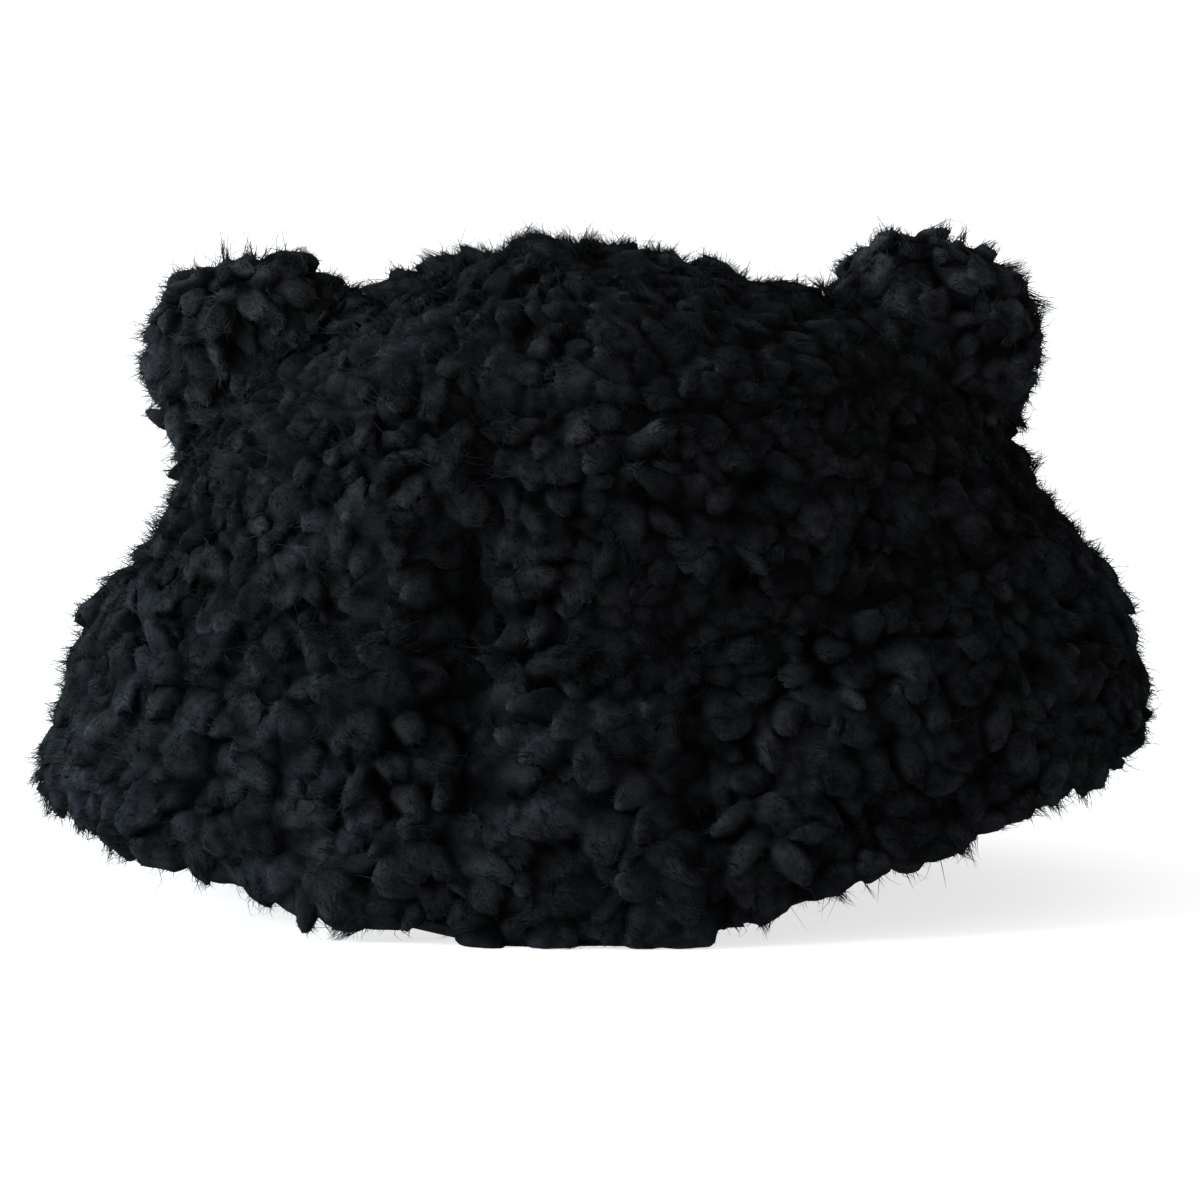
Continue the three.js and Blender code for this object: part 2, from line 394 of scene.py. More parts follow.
def thorn(joints):
    """The slim cone that a fibre is made from, with joints at some heights from 0 to 1.

    It is made round its middle, so its heights are half a length lower until it is done."""
    shape = bmesh.new()
    uv_layer = shape.loops.layers.uv.verify()
    bmesh.ops.create_cone(shape, cap_ends=True, segments=3, radius1=1, radius2=0, depth=1, calc_uvs=True)
    bmesh.ops.remove_doubles(shape, verts=shape.verts, dist=JOIN_DISTANCE)
    for height in joints:
        geometry = [*shape.verts, *shape.edges, *shape.faces]
        bmesh.ops.bisect_plane(shape, geom=geometry, plane_co=(0, 0, height - 0.5), plane_no=(0, 0, 1))
    bmesh.ops.triangulate(shape, faces=shape.faces)
    shape.verts.index_update()
    places = np.array([vert.co for vert in shape.verts])
    triangles = np.array([[vert.index for vert in face.verts] for face in shape.faces])
    corner_uv = np.array([[loop[uv_layer].uv for loop in face.loops] for face in shape.faces])
    shape.free()
    return Shape(places[:, 0], places[:, 1], places[:, 2] + 0.5, triangles, corner_uv)


def merged_copy(node):
    """A node's mesh with its loose triangles joined."""
    shell = bmesh.new()
    shell.from_mesh(frame["nodes"][node].data)
    bmesh.ops.remove_doubles(shell, verts=shell.verts, dist=JOIN_DISTANCE)
    shell.normal_update()
    return shell


def pile_faces(shell, cover):
    """The faces that carry pile, and the outward direction of the pile at each of their points."""
    low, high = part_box(cover.node)
    heart = (low + high) / 2 if cover in EARS else HEART
    faces = [
        face for face in shell.faces
        if cover.side * face.normal.dot(face.calc_center_median() - heart) > 0]
    outward = {}
    for face in faces:
        for vert in face.verts:
            outward[vert] = outward.get(vert, Vector()) + face.normal * face.calc_area()
    return faces, {vert: direction.normalized() for vert, direction in outward.items()}


def wall_thickness(tree, place, outward):
    """Thickness of the wall under a point of its face."""
    inside = Vector(place) - Vector(outward) * WALL_START
    distance = tree.ray_cast(inside, -Vector(outward))[3]
    return distance or 0


def spaced(points, gap):
    """Indices of points that keep a gap to each other, taken in order."""
    cells = {}
    kept = []
    neighbours = list(itertools.product((-1, 0, 1), repeat=3))
    for index, (x, y, z) in enumerate(points.tolist()):
        cell = (math.floor(x / gap), math.floor(y / gap), math.floor(z / gap))
        near = (cells.get((cell[0] + i, cell[1] + j, cell[2] + k), ()) for i, j, k in neighbours)
        taken = itertools.chain.from_iterable(near)
        if all((x - u) ** 2 + (y - v) ** 2 + (z - w) ** 2 >= gap * gap for u, v, w in taken):
            cells.setdefault(cell, []).append((x, y, z))
            kept.append(index)
    return kept


def scattered(faces, outward, gap, rng):
    """Places spread evenly over the faces, with the pile's outward direction at each."""
    corners = np.array([[vert.co for vert in face.verts] for face in faces])
    turned = np.array([[outward[vert] for vert in face.verts] for face in faces])
    areas = np.array([face.calc_area() for face in faces])
    count = int(CANDIDATES * areas.sum() / gap ** 2)
    picked = rng.choice(len(areas), count, p=areas / areas.sum())
    shares = rng.dirichlet((1, 1, 1), count)
    places = np.einsum("nc,ncd->nd", shares, corners[picked])
    directions = unit(np.einsum("nc,ncd->nd", shares, turned[picked]))
    kept = spaced(places, gap)
    return places[kept], directions[kept]


def search_trees(covers):
    """Search trees of some panels and ears."""
    trees = []
    for cover in covers:
        shell = merged_copy(cover.node)
        trees.append(BVHTree.FromBMesh(shell))
        shell.free()
    return trees


def clearance(place, trees, most):
    """Distance from a place to the nearest other panel or ear, up to a most."""
    found = (tree.find_nearest(Vector(place), most)[3] for tree in trees)
    return min((distance for distance in found if distance is not None), default=most)


def swirled(places, width, seed):
    """A direction at each place that changes smoothly over the given width."""
    noise.seed_set(seed)
    return np.array([noise.noise_vector(Vector(place) / width) for place in places])


def flattened(directions, outward):
    """Directions laid into the surface that faces outward."""
    return unit(directions - outward * np.sum(directions * outward, axis=1, keepdims=True))


def search_tree(places):
    """A tree that finds the nearest of some places."""
    tree = KDTree(len(places))
    for index, place in enumerate(places):
        tree.insert(place, index)
    tree.balance()
    return tree


def folded(places, outward):
    """How far the folds press the pile at each place, from 0 to 1."""
    seen = places[:, [0, 2]]
    press = np.zeros(len(places))
    for fold in FOLDS:
        line = np.array(fold.line) * MM
        for start, end in zip(line, line[1:]):
            run = end - start
            share = np.clip((seen - start) @ run / (run @ run), 0, 1)
            away = np.linalg.norm(seen - start - share[:, None] * run, axis=1)
            press = np.maximum(press, fold.press * np.exp(-(away / (fold.half_width * MM)) ** 2))
    return press * (places[:, 1] < 0) * (outward[:, 1] < 0)


class Pelt:
    """The fleece of the whole hat: how it runs across seams and creases, and every lock that lies on it."""

    def __init__(self, pile):
        rng = np.random.default_rng(PELT_SEED)
        skins = []
        seeds = []
        for cover in COVERS:
            shell = merged_copy(cover.node)
            faces, outward = pile_faces(shell, cover)
            skins.append(scattered(faces, outward, SKIN_GAP, rng))
            seeds.append(scattered(faces, outward, cover.gap, rng)[0])
            shell.free()
        self.skin = np.concatenate([places for places, _ in skins])
        self.skin_outward = np.concatenate([directions for _, directions in skins])
        self.skin_owner = np.repeat(np.arange(len(COVERS)), [len(places) for places, _ in skins])
        self.skin_tree = search_tree(self.skin)

        owner = np.repeat(np.arange(len(COVERS)), [len(places) for places in seeds])
        places = np.concatenate(seeds)
        count = len(places)
        found = [self.smoothed(place, own) for place, own in zip(places, owner)]
        self.outward = np.array([outward for outward, _, _ in found])
        self.place = places + self.outward * np.array([filled for _, filled, _ in found])[:, None]
        hang = np.array([cover.hang for cover in COVERS])[owner]
        size = np.array([cover.size for cover in COVERS])[owner]
        lean = swirled(self.place, pile.puff_width, LEAN_SEED) * pile.swirl
        lean += pile.stray * rng.normal(size=(count, 3))
        lean[:, 2] -= hang
        self.lean = flattened(lean, self.outward)
        self.across = np.cross(self.outward, self.lean)
        uneven = np.clip(rng.normal(1, pile.uneven, (3, count)), *UNEVEN_RANGE)
        self.half_length = pile.half_length * size * uneven[0]
        self.half_width = pile.half_width * size * uneven[1]
        press = folded(self.place, self.outward)
        self.height = pile.height * np.sqrt(size) * uneven[2] * (1 - press)
        # Painted light and shade: each panel's or ear's tone, and the locks painted darker where a fold
        # presses them.
        tone = np.array([cover.tone for cover in COVERS])[owner] * (1 - pile.painted_fold_shade * press)
        self.tone = np.clip(rng.normal(*LOCK_TONE, count), *LOCK_TONE_RANGE) * tone
        self.map_shift = rng.random((count, 2)) * MAP_SPREAD
        self.tuft = rng.uniform(*TUFT_RANGE, count)
        self.tree = search_tree(self.place)

    def smoothed(self, place, own):
        """The way that the pile faces at a place of one panel or ear, how far it is filled up there, and how
        dark the painted shade of the fold that it lies in is."""
        round_place = self.skin_tree.find_range(place, FOLD_REACH)
        index, distance = (np.array(part) for part in list(zip(*round_place))[1:])
        near = distance < SKIN_REACH
        outward = unit(self.skin_outward[index[near]].sum(axis=0))
        alike = self.skin_outward[index] @ outward > ALIKE
        above = (self.skin[index] - place) @ outward
        groove = max(np.quantile(above[near & alike], FILLED_SHARE), 0)
        fold = max(np.quantile(above[alike], FILLED_SHARE), 0)
        to_seam = distance[alike & (self.skin_owner[index] != own)].min(initial=SEAM_REACH)
        filled = min(groove, FOLD_FILLED + SEAM_FILLED * (1 - to_seam / SEAM_REACH))
        return outward, filled, min(fold / FOLD_DEPTH, 1) * to_seam / SEAM_REACH

    def relief(self, places, outward, pile):
        """For each place on the pile's face: the height over the roots, the lock, and the place along and
        across it."""
        warp = swirled(places, WARP_WIDTH * pile.ruffle_width, WARP_SEED) * pile.ruffle * WARP_SIZE
        near = np.array([[index for _, index, _ in self.tree.find_n(place, NEAR_LOCKS)] for place in places])
        offset = (places + warp)[:, None] - self.place[near]
        along = np.sum(offset * self.lean[near], axis=2) / self.half_length[near]
        aside = np.sum(offset * self.across[near], axis=2) / self.half_width[near]
        above = np.sum(offset * self.outward[near], axis=2) / self.half_width[near]
        agreement = np.sum(self.outward[near] * outward[:, None], axis=2)
        faces_same_way = np.clip(agreement / (2 * ALIKE), 0, 1)
        petal = np.sqrt(np.clip(1 - (along ** 2 + aside ** 2 + above ** 2) ** pile.flat, 0, 1))
        height = self.height[near] * petal * (1 - pile.rise * (1 - along) / 2) * faces_same_way
        rows = np.arange(len(places))
        best = height.argmax(axis=1)
        return height[rows, best], near[rows, best], along[rows, best], aside[rows, best]


def pressed(points):
    """Points with the pile pressed flat where it meets the floor."""
    low = points[..., 2] < FLOOR_SQUASH
    squashed = FLOOR_SQUASH * np.exp(points[..., 2] / FLOOR_SQUASH - 1)
    points[..., 2] = np.where(low, squashed, points[..., 2])
    return points


def fuzz_fibres(fleece, pelt, count, fuzz, rng):
    """Short fibres that stand off the locks all over."""
    corners = fleece.triangles
    sides = fleece.places[corners[:, 1:]] - fleece.places[corners[:, :1]]
    crossed = np.cross(sides[:, 0], sides[:, 1])
    weight = np.linalg.norm(crossed, axis=1) * fleece.shade[corners].mean(axis=1)
    face = rng.choice(len(corners), count, p=weight / weight.sum())
    shares = rng.dirichlet((1, 1, 1), count)
    facing = unit(crossed[face])
    lock = fleece.lock[corners[face, 0]]
    ahead = unit(facing + fuzz.comb * pelt.lean[lock] + FIBRE_STRAY * rng.normal(size=(count, 3)))
    return Fibres(
        root=np.einsum("nc,ncd->nd", shares, fleece.places[corners[face]]) - facing * fuzz.radius,
        ahead=ahead,
        over=flattened(rng.normal(size=(count, 3)), ahead),
        bend=np.full(count, STRAIGHT),
        length=fuzz.length * np.exp(rng.normal(0, fuzz.spread, count)),
        radius=fuzz.radius * rng.uniform(*FIBRE_RADII, count),
        # The fibre takes the tone and painted shade of the lock under it.
        tone=pelt.tone[lock] * np.sum(shares * fleece.shade[corners[face]], axis=1),
        facing=facing,
    )


def tuft_fibres(fleece, pelt, count, fuzz, rng):
    """Longer fibres that gather to a blunt point at the tip of each lock."""
    tip = fleece.shade * (fleece.along > TUFT_START)
    picked = rng.choice(len(tip), count, p=tip / tip.sum())
    root = fleece.places[picked]
    lock = fleece.lock[picked]
    reach = (pelt.half_length[lock] * pelt.tuft[lock] * fuzz.tuft)[:, None]
    point = pelt.place[lock] + (TUFT_AHEAD * pelt.lean[lock] + TUFT_UP * pelt.outward[lock]) * reach
    ahead = point - root + fuzz.radius * TUFT_BLUNT * rng.normal(size=(count, 3))
    return Fibres(
        root=root - unit(ahead) * fuzz.radius,
        ahead=unit(ahead),
        over=flattened(rng.normal(size=(count, 3)), unit(ahead)),
        bend=np.full(count, STRAIGHT),
        length=np.linalg.norm(ahead, axis=1) * rng.uniform(*TUFT_LENGTHS, count),
        radius=fuzz.radius * rng.uniform(*TUFT_RADII, count),
        # The tuft fibre takes the tone and painted shade of its lock.
        tone=pelt.tone[lock] * fleece.shade[picked],
        facing=unit(pelt.outward[lock] + unit(ahead)),
    )


def curled_hairs(fleece, pelt, count, fuzz, rng):
    """Longer fibres that stand off the locks and curl back to them."""
    picked = rng.choice(len(fleece.shade), count, p=fleece.shade / fleece.shade.sum())
    lock = fleece.lock[picked]
    ahead = unit(pelt.outward[lock] + HAIR_STRAY * rng.normal(size=(count, 3)))
    over = pelt.lean[lock] + CURL_STRAY * rng.normal(size=(count, 3)) - CURL_BACK * pelt.outward[lock]
    return Fibres(
        root=fleece.places[picked] - pelt.outward[lock] * fuzz.radius,
        ahead=ahead,
        over=flattened(over, ahead),
        bend=rng.uniform(*HAIR_BENDS, count),
        length=fuzz.hair * np.exp(rng.normal(0, fuzz.spread, count)),
        radius=fuzz.radius * rng.uniform(*HAIR_RADII, count),
        # The hair takes the tone and painted shade of its lock.
        tone=pelt.tone[lock] * fleece.shade[picked],
        facing=unit(pelt.outward[lock] + LIGHT_STRAY * rng.normal(size=(count, 3))),
    )


def grown(shape, fibres):
    """The points of every fibre, which bends evenly along its length."""
    side = np.cross(fibres.over, fibres.ahead)
    angle = fibres.bend[:, None] * shape.rise
    arc = (fibres.length / fibres.bend)[:, None]
    across, above = (fibres.radius[:, None] * part for part in (shape.across, shape.above))
    forward = (arc - above) * np.sin(angle)
    sideways = arc - (arc - above) * np.cos(angle)
    parts = ((fibres.ahead, forward), (fibres.over, sideways), (side, across))
    return fibres.root[:, None] + sum(axis[:, None] * amount[..., None] for axis, amount in parts)


def joined_mesh(name, shape, points, tone, facing, rng):
    """One mesh of all the fibres, with their tone, the way they are lit, and two maps: along each fibre, and
    a cell for each."""
    count, each = points.shape[:2]
    corners = (shape.triangles + each * np.arange(count)[:, None, None]).ravel()
    mesh = bpy.data.meshes.new(name)
    mesh.vertices.add(count * each)
    mesh.vertices.foreach_set("co", points.astype(np.float32).ravel())
    mesh.loops.add(len(corners))
    mesh.loops.foreach_set("vertex_index", corners.astype(np.int32))
    mesh.polygons.add(len(corners) // 3)
    mesh.polygons.foreach_set("loop_start", np.arange(0, len(corners), 3, dtype=np.int32))
    mesh.update(calc_edges=True)
    mesh.shade_smooth()
    tones = mesh.attributes.new("tone", "FLOAT", "POINT")
    tones.data.foreach_set("value", tone.astype(np.float32).ravel())
    columns = math.ceil(math.sqrt(count))
    cells = np.stack(np.divmod(np.arange(count), columns), axis=1)[:, None, None]
    inset = CELL_MARGIN / 2 + (1 - CELL_MARGIN) * shape.corner_uv
    maps = {
        "OFBake": (cells + inset) / columns,
        "StrandUV": shape.corner_uv + rng.random((count, 1, 1, 2)) * MAP_SPREAD,
    }
    for map_name, values in maps.items():
        layer = mesh.uv_layers.new(name=map_name)
        layer.uv.foreach_set("vector", values.astype(np.float32).ravel())
    mesh.normals_split_custom_set_from_vertices(np.repeat(facing, each, axis=0).tolist())
    return mesh


def shown_piece(name, mesh, material):
    """A piece in the scene that belongs to a panel or ear."""
    mesh.materials.append(material)
    piece = bpy.data.objects.new(name, mesh)
    bpy.context.scene.collection.objects.link(piece)
    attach(piece, BODY)
    return piece


class Fleece(NamedTuple):
    """The pile side of a finished panel or ear: its points, with the lock that each is on, the place along
    that lock and the painted shade there, and its triangles."""

    places: np.ndarray
    lock: np.ndarray
    along: np.ndarray
    shade: np.ndarray
    triangles: np.ndarray


class Layers(NamedTuple):
    """What is kept for each point and corner of a wall while it is cut finely and raised."""

    outward: object
    depth: object
    fold: object
    tone: object
    bake_map: object
    strand_map: object


def new_layers(shell):
    """Empty layers, made before any point or face is held, because they move all of them."""
    return Layers(
        outward=shell.verts.layers.float_vector.new("outward"),
        depth=shell.verts.layers.float.new("depth"),
        fold=shell.verts.layers.float.new("fold"),
        tone=shell.verts.layers.float.new("tone"),
        bake_map=shell.loops.layers.uv.new("OFBake"),
        strand_map=shell.loops.layers.uv.new("StrandUV"),
    )


def set_cells(shell, layer):
    """A map with a cell of its own for each two faces, which is kept when the faces are cut finer."""
    columns = math.ceil(math.sqrt(len(shell.faces) / 2))
    near, far = CELL_MARGIN / 2, 1 - CELL_MARGIN
    lower = ((near, near), (far, near), (near, far))
    upper = tuple((1 - across, 1 - up) for across, up in lower)
    halves = (lower, upper)
    for index, face in enumerate(shell.faces):
        row, column = divmod(index // 2, columns)
        for loop, corner in zip(face.loops, halves[index % 2]):
            loop[layer].uv = ((column + corner[0]) / columns, (row + corner[1]) / columns)


def finely_cut(shell, layers, cover, pelt, pile):
    """Fills the seams of a wall's pile side, cuts it finely and returns its points.

    Where an ear is sewn to the crown, both keep their face, so that they still meet."""
    faces, outward = pile_faces(shell, cover)
    covered = set(faces)
    tree = BVHTree.FromBMesh(shell)
    sewn = search_trees(EARS if cover in CROWN else CROWN if cover in EARS else [])
    moved = {}
    for vert, direction in outward.items():
        facing, filled, fold = pelt.smoothed(vert.co, COVERS.index(cover))
        wall = ROOT_SHARE * wall_thickness(tree, vert.co, direction)
        moved[vert] = vert.co + Vector(facing) * filled
        if not covered.issuperset(vert.link_faces):
            spokes = (vert.co - face.calc_center_median() for face in vert.link_faces if face in covered)
            rim = sum(spokes, Vector())
            moved[vert] += (rim - rim.project(Vector(facing))).normalized() * SEAM_OVERLAP
            vert[layers.depth] = pile.depth + SEAM_SINK
        else:
            vert[layers.depth] = min(pile.depth, filled + min(wall, clearance(vert.co, sewn, pile.depth)))
        vert[layers.outward] = facing
        vert[layers.fold] = fold
    for vert, place in moved.items():
        vert.co = place
    set_cells(shell, layers.bake_map)
    for face in faces:
        face.material_index = PILE
    shell.edges.index_update()
    edges = sorted({edge for face in faces for edge in face.edges}, key=lambda edge: edge.index)
    bmesh.ops.subdivide_edges(shell, edges=edges, cuts=cover.cuts, use_grid_fill=True)
    bmesh.ops.triangulate(shell, faces=shell.faces)
    points = list({vert for face in shell.faces if face.material_index == PILE for vert in face.verts})
    return sorted(points, key=lambda vert: tuple(vert.co))


def fleece_piece(cover, pelt, scene):
    """A panel or ear: a closed shell with a knit inside and rounded locks outside."""
    pile = scene.hat_pile
    shell = merged_copy(cover.node)
    layers = new_layers(shell)
    points = finely_cut(shell, layers, cover, pelt, pile)
    places = np.array([vert.co for vert in points])
    outward = unit(np.array([vert[layers.outward] for vert in points]))
    depth, fold = (np.array([vert[layer] for vert in points]) for layer in (layers.depth, layers.fold))
    height, lock, along, aside = pelt.relief(places, outward, pile)
    swell = np.array([noise.noise(Vector(place) / pile.puff_width) for place in places]) * pile.puff
    ruffle = np.array([noise.noise(Vector(place) / pile.ruffle_width) for place in places]) * pile.ruffle
    # Painted shade: each lock is painted dark low down, where it meets its neighbours, light at its top, and
    # darker again in folds.
    open_share = np.clip((height / pelt.height[lock] - CLOSED_SHARE) / (OPEN_SHARE - CLOSED_SHARE), 0, 1)
    shade = (pile.painted_root_shade + (1 - pile.painted_root_shade) * open_share) * (1 - pile.painted_fold_shade * fold)
    lean = pelt.lean[lock] * (pile.overhang * height * np.clip(along, 0, 1))[:, None]
    raised = pressed(places + outward * (height - depth + swell + ruffle)[:, None] + lean)
    for vert, place in zip(points, raised):
        vert.co = place

    across_lock = np.stack((aside, along), axis=1) * STRAND_MAP + pelt.map_shift[lock]
    # The tone layer holds each lock's tone with its painted light and painted shade.
    for vert, value, strand in zip(points, pelt.tone[lock] * shade, across_lock):
        vert[layers.tone] = value
        for loop in vert.link_loops:
            loop[layers.strand_map].uv = strand
    index_of = {vert: index for index, vert in enumerate(points)}
    pile_sides = [face for face in shell.faces if face.material_index == PILE]
    triangles = np.array([[index_of[vert] for vert in face.verts] for face in pile_sides])
    mesh = bpy.data.meshes.new(f"{cover.node}_fleece")
    shell.to_mesh(mesh)
    shell.free()
    mesh.shade_smooth()
    piece = shown_piece(mesh.name, mesh, knit_material(scene.hat_back))
    mesh.materials.append(fleece_material(cover.slot, pile))
    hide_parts(cover.node)
    return piece, Fleece(raised, lock, along, shade, triangles)


def cover_with_fleece(cover, scene, pelt):
    """The fleece, fuzz and hairs of one panel or ear. The fleece takes the node's place, which is hidden."""
    rng = np.random.default_rng(cover.seed)
    piece, fleece = fleece_piece(cover, pelt, scene)
    fuzz = scene.hat_fuzz
    short = fuzz_fibres(fleece, pelt, cover.fibres, fuzz, rng)
    tufts = tuft_fibres(fleece, pelt, cover.tufts, fuzz, rng)
    hairs = curled_hairs(fleece, pelt, cover.hairs, fuzz, rng)
    straight = Fibres(*(np.concatenate(both) for both in zip(short, tufts)))
    for kind, shape, fibres in (("fuzz", thorn(()), straight), ("hairs", thorn(HAIR_JOINTS), hairs)):
        # Painted highlight: each fibre is painted lighter towards its tip and darker at its root.
        tone = fibres.tone[:, None] * (1 + (fuzz.painted_tip_light - 1) * shape.rise)
        points = pressed(grown(shape, fibres))
        mesh = joined_mesh(f"{cover.node}_{kind}", shape, points, tone, fibres.facing, rng)
        shown_piece(mesh.name, mesh, fleece_material(cover.slot, scene.hat_pile))
    return piece


class Nodes:
    """Adds shader nodes to a new material and links them."""

    def __init__(self, name):
        self.material = bpy.data.materials.new(name)
        self.material.use_nodes = True
        self.tree = self.material.node_tree
        self.shader = self.tree.nodes["Principled BSDF"]

    def add(self, kind, inputs=None, **settings):
        """A node with its own settings and its inputs, each a value or another node's output."""
        node = self.tree.nodes.new(kind)
        for key, value in settings.items():
            setattr(node, key, value)
        self.fill(node, inputs or {})
        return node

    def fill(self, node, inputs):
        """Sets a node's inputs, each a value or another node's output."""
        for key, value in inputs.items():
            if isinstance(value, bpy.types.NodeSocket):
                self.tree.links.new(value, node.inputs[key])
            else:
                node.inputs[key].default_value = value


def fleece_material(slot, pile):
    """Curly fleece: painted shade, dark at the roots and in folds, read from its tone, with strands along
    each lock and soft fluff all over.
    """
    name = f"curly_{slot}"
    if name in bpy.data.materials:
        return bpy.data.materials[name]
    nodes = Nodes(name)
    tone = nodes.add("ShaderNodeAttribute", attribute_name="tone").outputs["Fac"]
    strand_map = nodes.add("ShaderNodeUVMap", uv_map="StrandUV").outputs["UV"]
    place = nodes.add("ShaderNodeTexCoord").outputs["Object"]
    stretched = nodes.add("ShaderNodeMapping", {"Vector": strand_map, "Scale": (22, 3.0, 1)})
    strands = nodes.add(
        "ShaderNodeTexNoise", {"Vector": stretched.outputs["Vector"], "Scale": 1.0, "Detail": 3.0})
    fluff = nodes.add(
        "ShaderNodeTexNoise", {"Vector": place, "Scale": 2400.0, "Detail": 3.0, "Roughness": 0.75})
    mottle = nodes.add("ShaderNodeTexNoise", {"Vector": place, "Scale": 160.0, "Detail": 2.0})
    cast = nodes.add("ShaderNodeTexNoise", {"Vector": place, "Scale": 75.0, "Detail": 1.0})
    both = nodes.add("ShaderNodeMath", {0: strands.outputs["Fac"], 1: fluff.outputs["Fac"]}, operation="ADD")
    speckle = nodes.add(
        "ShaderNodeMath", {0: fluff.outputs["Fac"], 1: mottle.outputs["Fac"]}, operation="MULTIPLY")
    lightness = nodes.add(
        "ShaderNodeMapRange", {"Value": speckle.outputs[0], "From Min": 0.12, "From Max": 0.4, "To Min": 0.05,
                               "To Max": 1.0})
    shade = nodes.add("ShaderNodeMath", {0: lightness.outputs[0], 1: tone}, operation="MULTIPLY")
    tint = nodes.add(
        "ShaderNodeVectorMath", {0: cast.outputs["Color"], 1: (pile.cast,) * 3, 2: (1 - pile.cast / 2,) * 3},
        operation="MULTIPLY_ADD")
    tinted = nodes.add(
        "ShaderNodeVectorMath", {0: SLOT_COLOUR[slot][:3], 1: tint.outputs[0]}, operation="MULTIPLY")
    colour = nodes.add("ShaderNodeVectorMath", {0: tinted.outputs[0]}, operation="SCALE")
    nodes.fill(colour, {"Scale": shade.outputs[0]})
    bump = nodes.add("ShaderNodeBump", {"Height": both.outputs[0], "Strength": 0.7, "Distance": 0.5 * MM})
    nodes.fill(nodes.shader, {
        "Base Color": colour.outputs[0],
        "Roughness": 0.95,
        "Specular IOR Level": 0.015,
        "Sheen Weight": pile.sheen,
        "Sheen Roughness": 0.5,
        "Sheen Tint": (*pile.sheen_tint, 1),
        "Normal": bump.outputs[0],
    })
    return nodes.material


def knit_material(settings):
    """The plain knit back of the fleece, in small rounded stitches."""
    name = "knit_back"
    if name in bpy.data.materials:
        return bpy.data.materials[name]
    nodes = Nodes(name)
    place = nodes.add("ShaderNodeTexCoord").outputs["Object"]
    stitches = nodes.add(
        "ShaderNodeTexVoronoi", {"Vector": place, "Scale": 1 / settings.stitch, "Randomness": 0.6})
    height = nodes.add(
        "ShaderNodeMapRange", {"Value": stitches.outputs["Distance"], "To Min": 1.0, "To Max": 0.0})
    cloud = nodes.add("ShaderNodeTexNoise", {"Vector": place, "Scale": 90.0, "Detail": 3.0})
    sum_tone = nodes.add("ShaderNodeMath", {0: height.outputs[0], 1: cloud.outputs["Fac"]}, operation="ADD")
    colour = nodes.add("ShaderNodeVectorMath", {0: tuple(settings.colour)}, operation="SCALE")
    nodes.fill(colour, {"Scale": sum_tone.outputs[0]})
    bump = nodes.add("ShaderNodeBump", {"Height": height.outputs[0], "Strength": 0.8, "Distance": 0.4 * MM})
    nodes.fill(nodes.shader, {
        "Base Color": colour.outputs[0],
        "Roughness": 0.9,
        "Specular IOR Level": 0.03,
        "Normal": bump.outputs[0],
    })
    return nodes.material


def floor_material(stage):
    """A plain pale floor, very slightly uneven."""
    nodes = Nodes("pale_floor")
    place = nodes.add("ShaderNodeTexCoord").outputs["Object"]
    cloud = nodes.add("ShaderNodeTexNoise", {"Vector": place, "Scale": 6.0, "Detail": 2.0})
    scale = nodes.add("ShaderNodeMapRange", {"Value": cloud.outputs["Fac"], "To Min": 0.98, "To Max": 1.0})
    colour = nodes.add("ShaderNodeVectorMath", {0: tuple(stage.floor_colour)}, operation="SCALE")
    nodes.fill(colour, {"Scale": scale.outputs[0]})
    nodes.fill(nodes.shader, {
        "Base Color": colour.outputs[0],
        "Roughness": 0.8,
        "Specular IOR Level": 0.1,
        "Emission Color": (1, 1, 1, 1),
        "Emission Strength": stage.floor_glow,
    })
    return nodes.material


class HAT_OT_crown(bpy.types.Operator):
    """Covers the crown's tip and side with curly fleece"""

    bl_idname = "hat.crown"
    bl_label = "Crown fleece"

    def execute(self, context):
        pelt = Pelt(context.scene.hat_pile)
        for cover in CROWN:
            cover_with_fleece(cover, context.scene, pelt)
        return {"FINISHED"}


class HAT_OT_brim(bpy.types.Operator):
    """Covers both faces of the brim with curly fleece"""

    bl_idname = "hat.brim"
    bl_label = "Brim fleece"

    def execute(self, context):
        pelt = Pelt(context.scene.hat_pile)
        for cover in BRIM:
            cover_with_fleece(cover, context.scene, pelt)
        return {"FINISHED"}


class HAT_OT_ears(bpy.types.Operator):
    """Covers both padded ears with curly fleece"""

    bl_idname = "hat.ears"
    bl_label = "Padded ears"

    def execute(self, context):
        pelt = Pelt(context.scene.hat_pile)
        for cover in EARS:
            pad = cover_with_fleece(cover, context.scene, pelt)
        return {"FINISHED"}


class HAT_OT_stage(bpy.types.Operator):
    """Sets the floor, the light and the camera"""

    bl_idname = "hat.stage"
    bl_label = "Floor, light and camera"

    def execute(self, context):
        scene = context.scene
        stage = scene.hat_stage
        add_floor(scene, stage)
        add_light(scene, stage)
        add_camera(scene, stage)
        return {"FINISHED"}


def add_floor(scene, stage):
    """A round pale floor at the height that the hat stands on."""
    disc = bmesh.new()
    bmesh.ops.create_circle(disc, cap_ends=True, segments=96, radius=stage.floor_radius)
    mesh = bpy.data.meshes.new("floor")
    disc.to_mesh(mesh)
    disc.free()
    mesh.materials.append(floor_material(stage))
    floor = bpy.data.objects.new("floor", mesh)
    scene.collection.objects.link(floor)


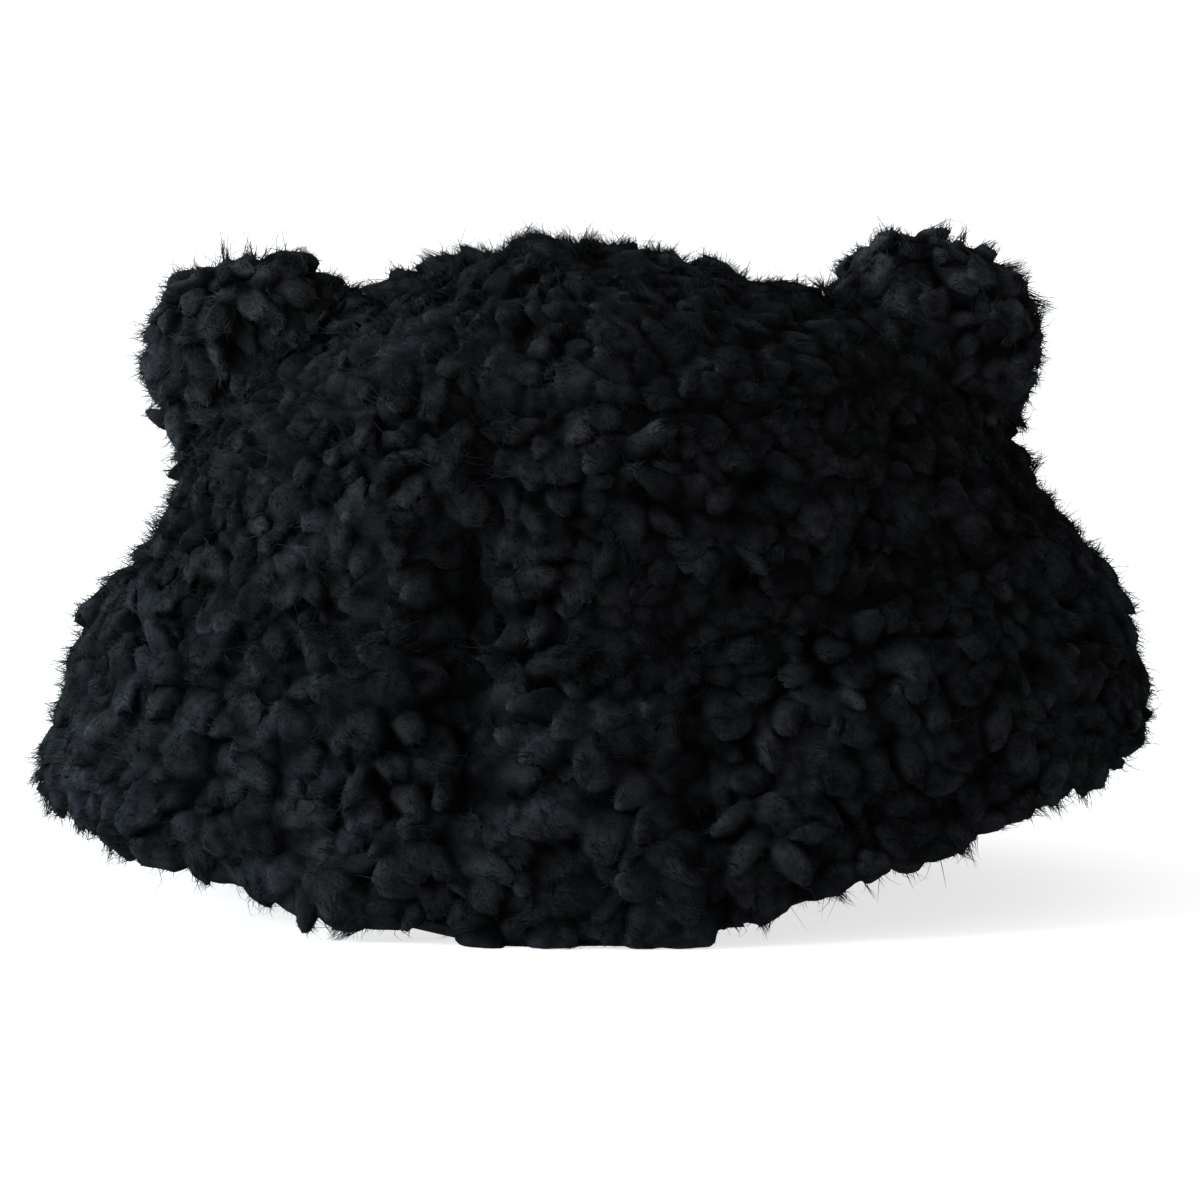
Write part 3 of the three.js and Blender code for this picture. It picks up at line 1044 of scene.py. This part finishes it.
def add_light(scene, stage):
    """Even white light from all round, and a broad main light from the front left."""
    world = bpy.data.worlds.new("white_studio")
    world.use_nodes = True
    background = world.node_tree.nodes["Background"]
    background.inputs["Color"].default_value = (1, 1, 1, 1)
    background.inputs["Strength"].default_value = stage.sky
    scene.world = world
    scene.view_settings.view_transform = "Standard"
    lamp = bpy.data.lights.new("key", "AREA")
    lamp.energy = stage.key_power
    lamp.size = stage.key_size
    lamp.color = stage.key_colour
    key = bpy.data.objects.new("key", lamp)
    key.location = stage.key_place
    aim = Vector(stage.target) - Vector(stage.key_place)
    key.rotation_euler = aim.to_track_quat("-Z", "Y").to_euler()
    scene.collection.objects.link(key)


def add_camera(scene, stage):
    """A long lens at the photograph's angle, in front of the hat."""
    lens = bpy.data.cameras.new("camera")
    lens.lens = lens.sensor_width * stage.distance / stage.view_width
    camera = bpy.data.objects.new("camera", lens)
    back = Vector((0, -math.cos(stage.elevation), math.sin(stage.elevation)))
    camera.location = Vector(stage.target) + back * stage.distance
    camera.rotation_euler = (math.pi / 2 - stage.elevation, 0, 0)
    scene.collection.objects.link(camera)
    scene.camera = camera


OPERATORS = (HAT_OT_crown, HAT_OT_brim, HAT_OT_ears, HAT_OT_stage)
SETTINGS = {
    "hat_pile": PileSettings,
    "hat_fuzz": FuzzSettings,
    "hat_back": BackSettings,
    "hat_stage": StageSettings,
}


class HAT_PT_panel(bpy.types.Panel):
    """The hat's settings and its making steps"""

    bl_idname = "HAT_PT_panel"
    bl_label = "Fleece Hat"
    bl_space_type = "VIEW_3D"
    bl_region_type = "UI"
    bl_category = "Fleece Hat"

    def draw(self, context):
        layout = self.layout
        for name, group in SETTINGS.items():
            box = layout.box()
            for key in group.__annotations__:
                box.prop(getattr(context.scene, name), key)
        for operator in OPERATORS:
            layout.operator(operator.bl_idname)


CLASSES = (*SETTINGS.values(), *OPERATORS, HAT_PT_panel)


def register():
    for cls in CLASSES:
        bpy.utils.register_class(cls)
    for name, group in SETTINGS.items():
        setattr(bpy.types.Scene, name, PointerProperty(type=group))


def unregister():
    for name in SETTINGS:
        delattr(bpy.types.Scene, name)
    for cls in reversed(CLASSES):
        bpy.utils.unregister_class(cls)


def main():
    register()
    bpy.ops.hat.stage()
    bpy.ops.hat.crown()
    bpy.ops.hat.brim()
    bpy.ops.hat.ears()


if __name__ == "__main__":
    main()
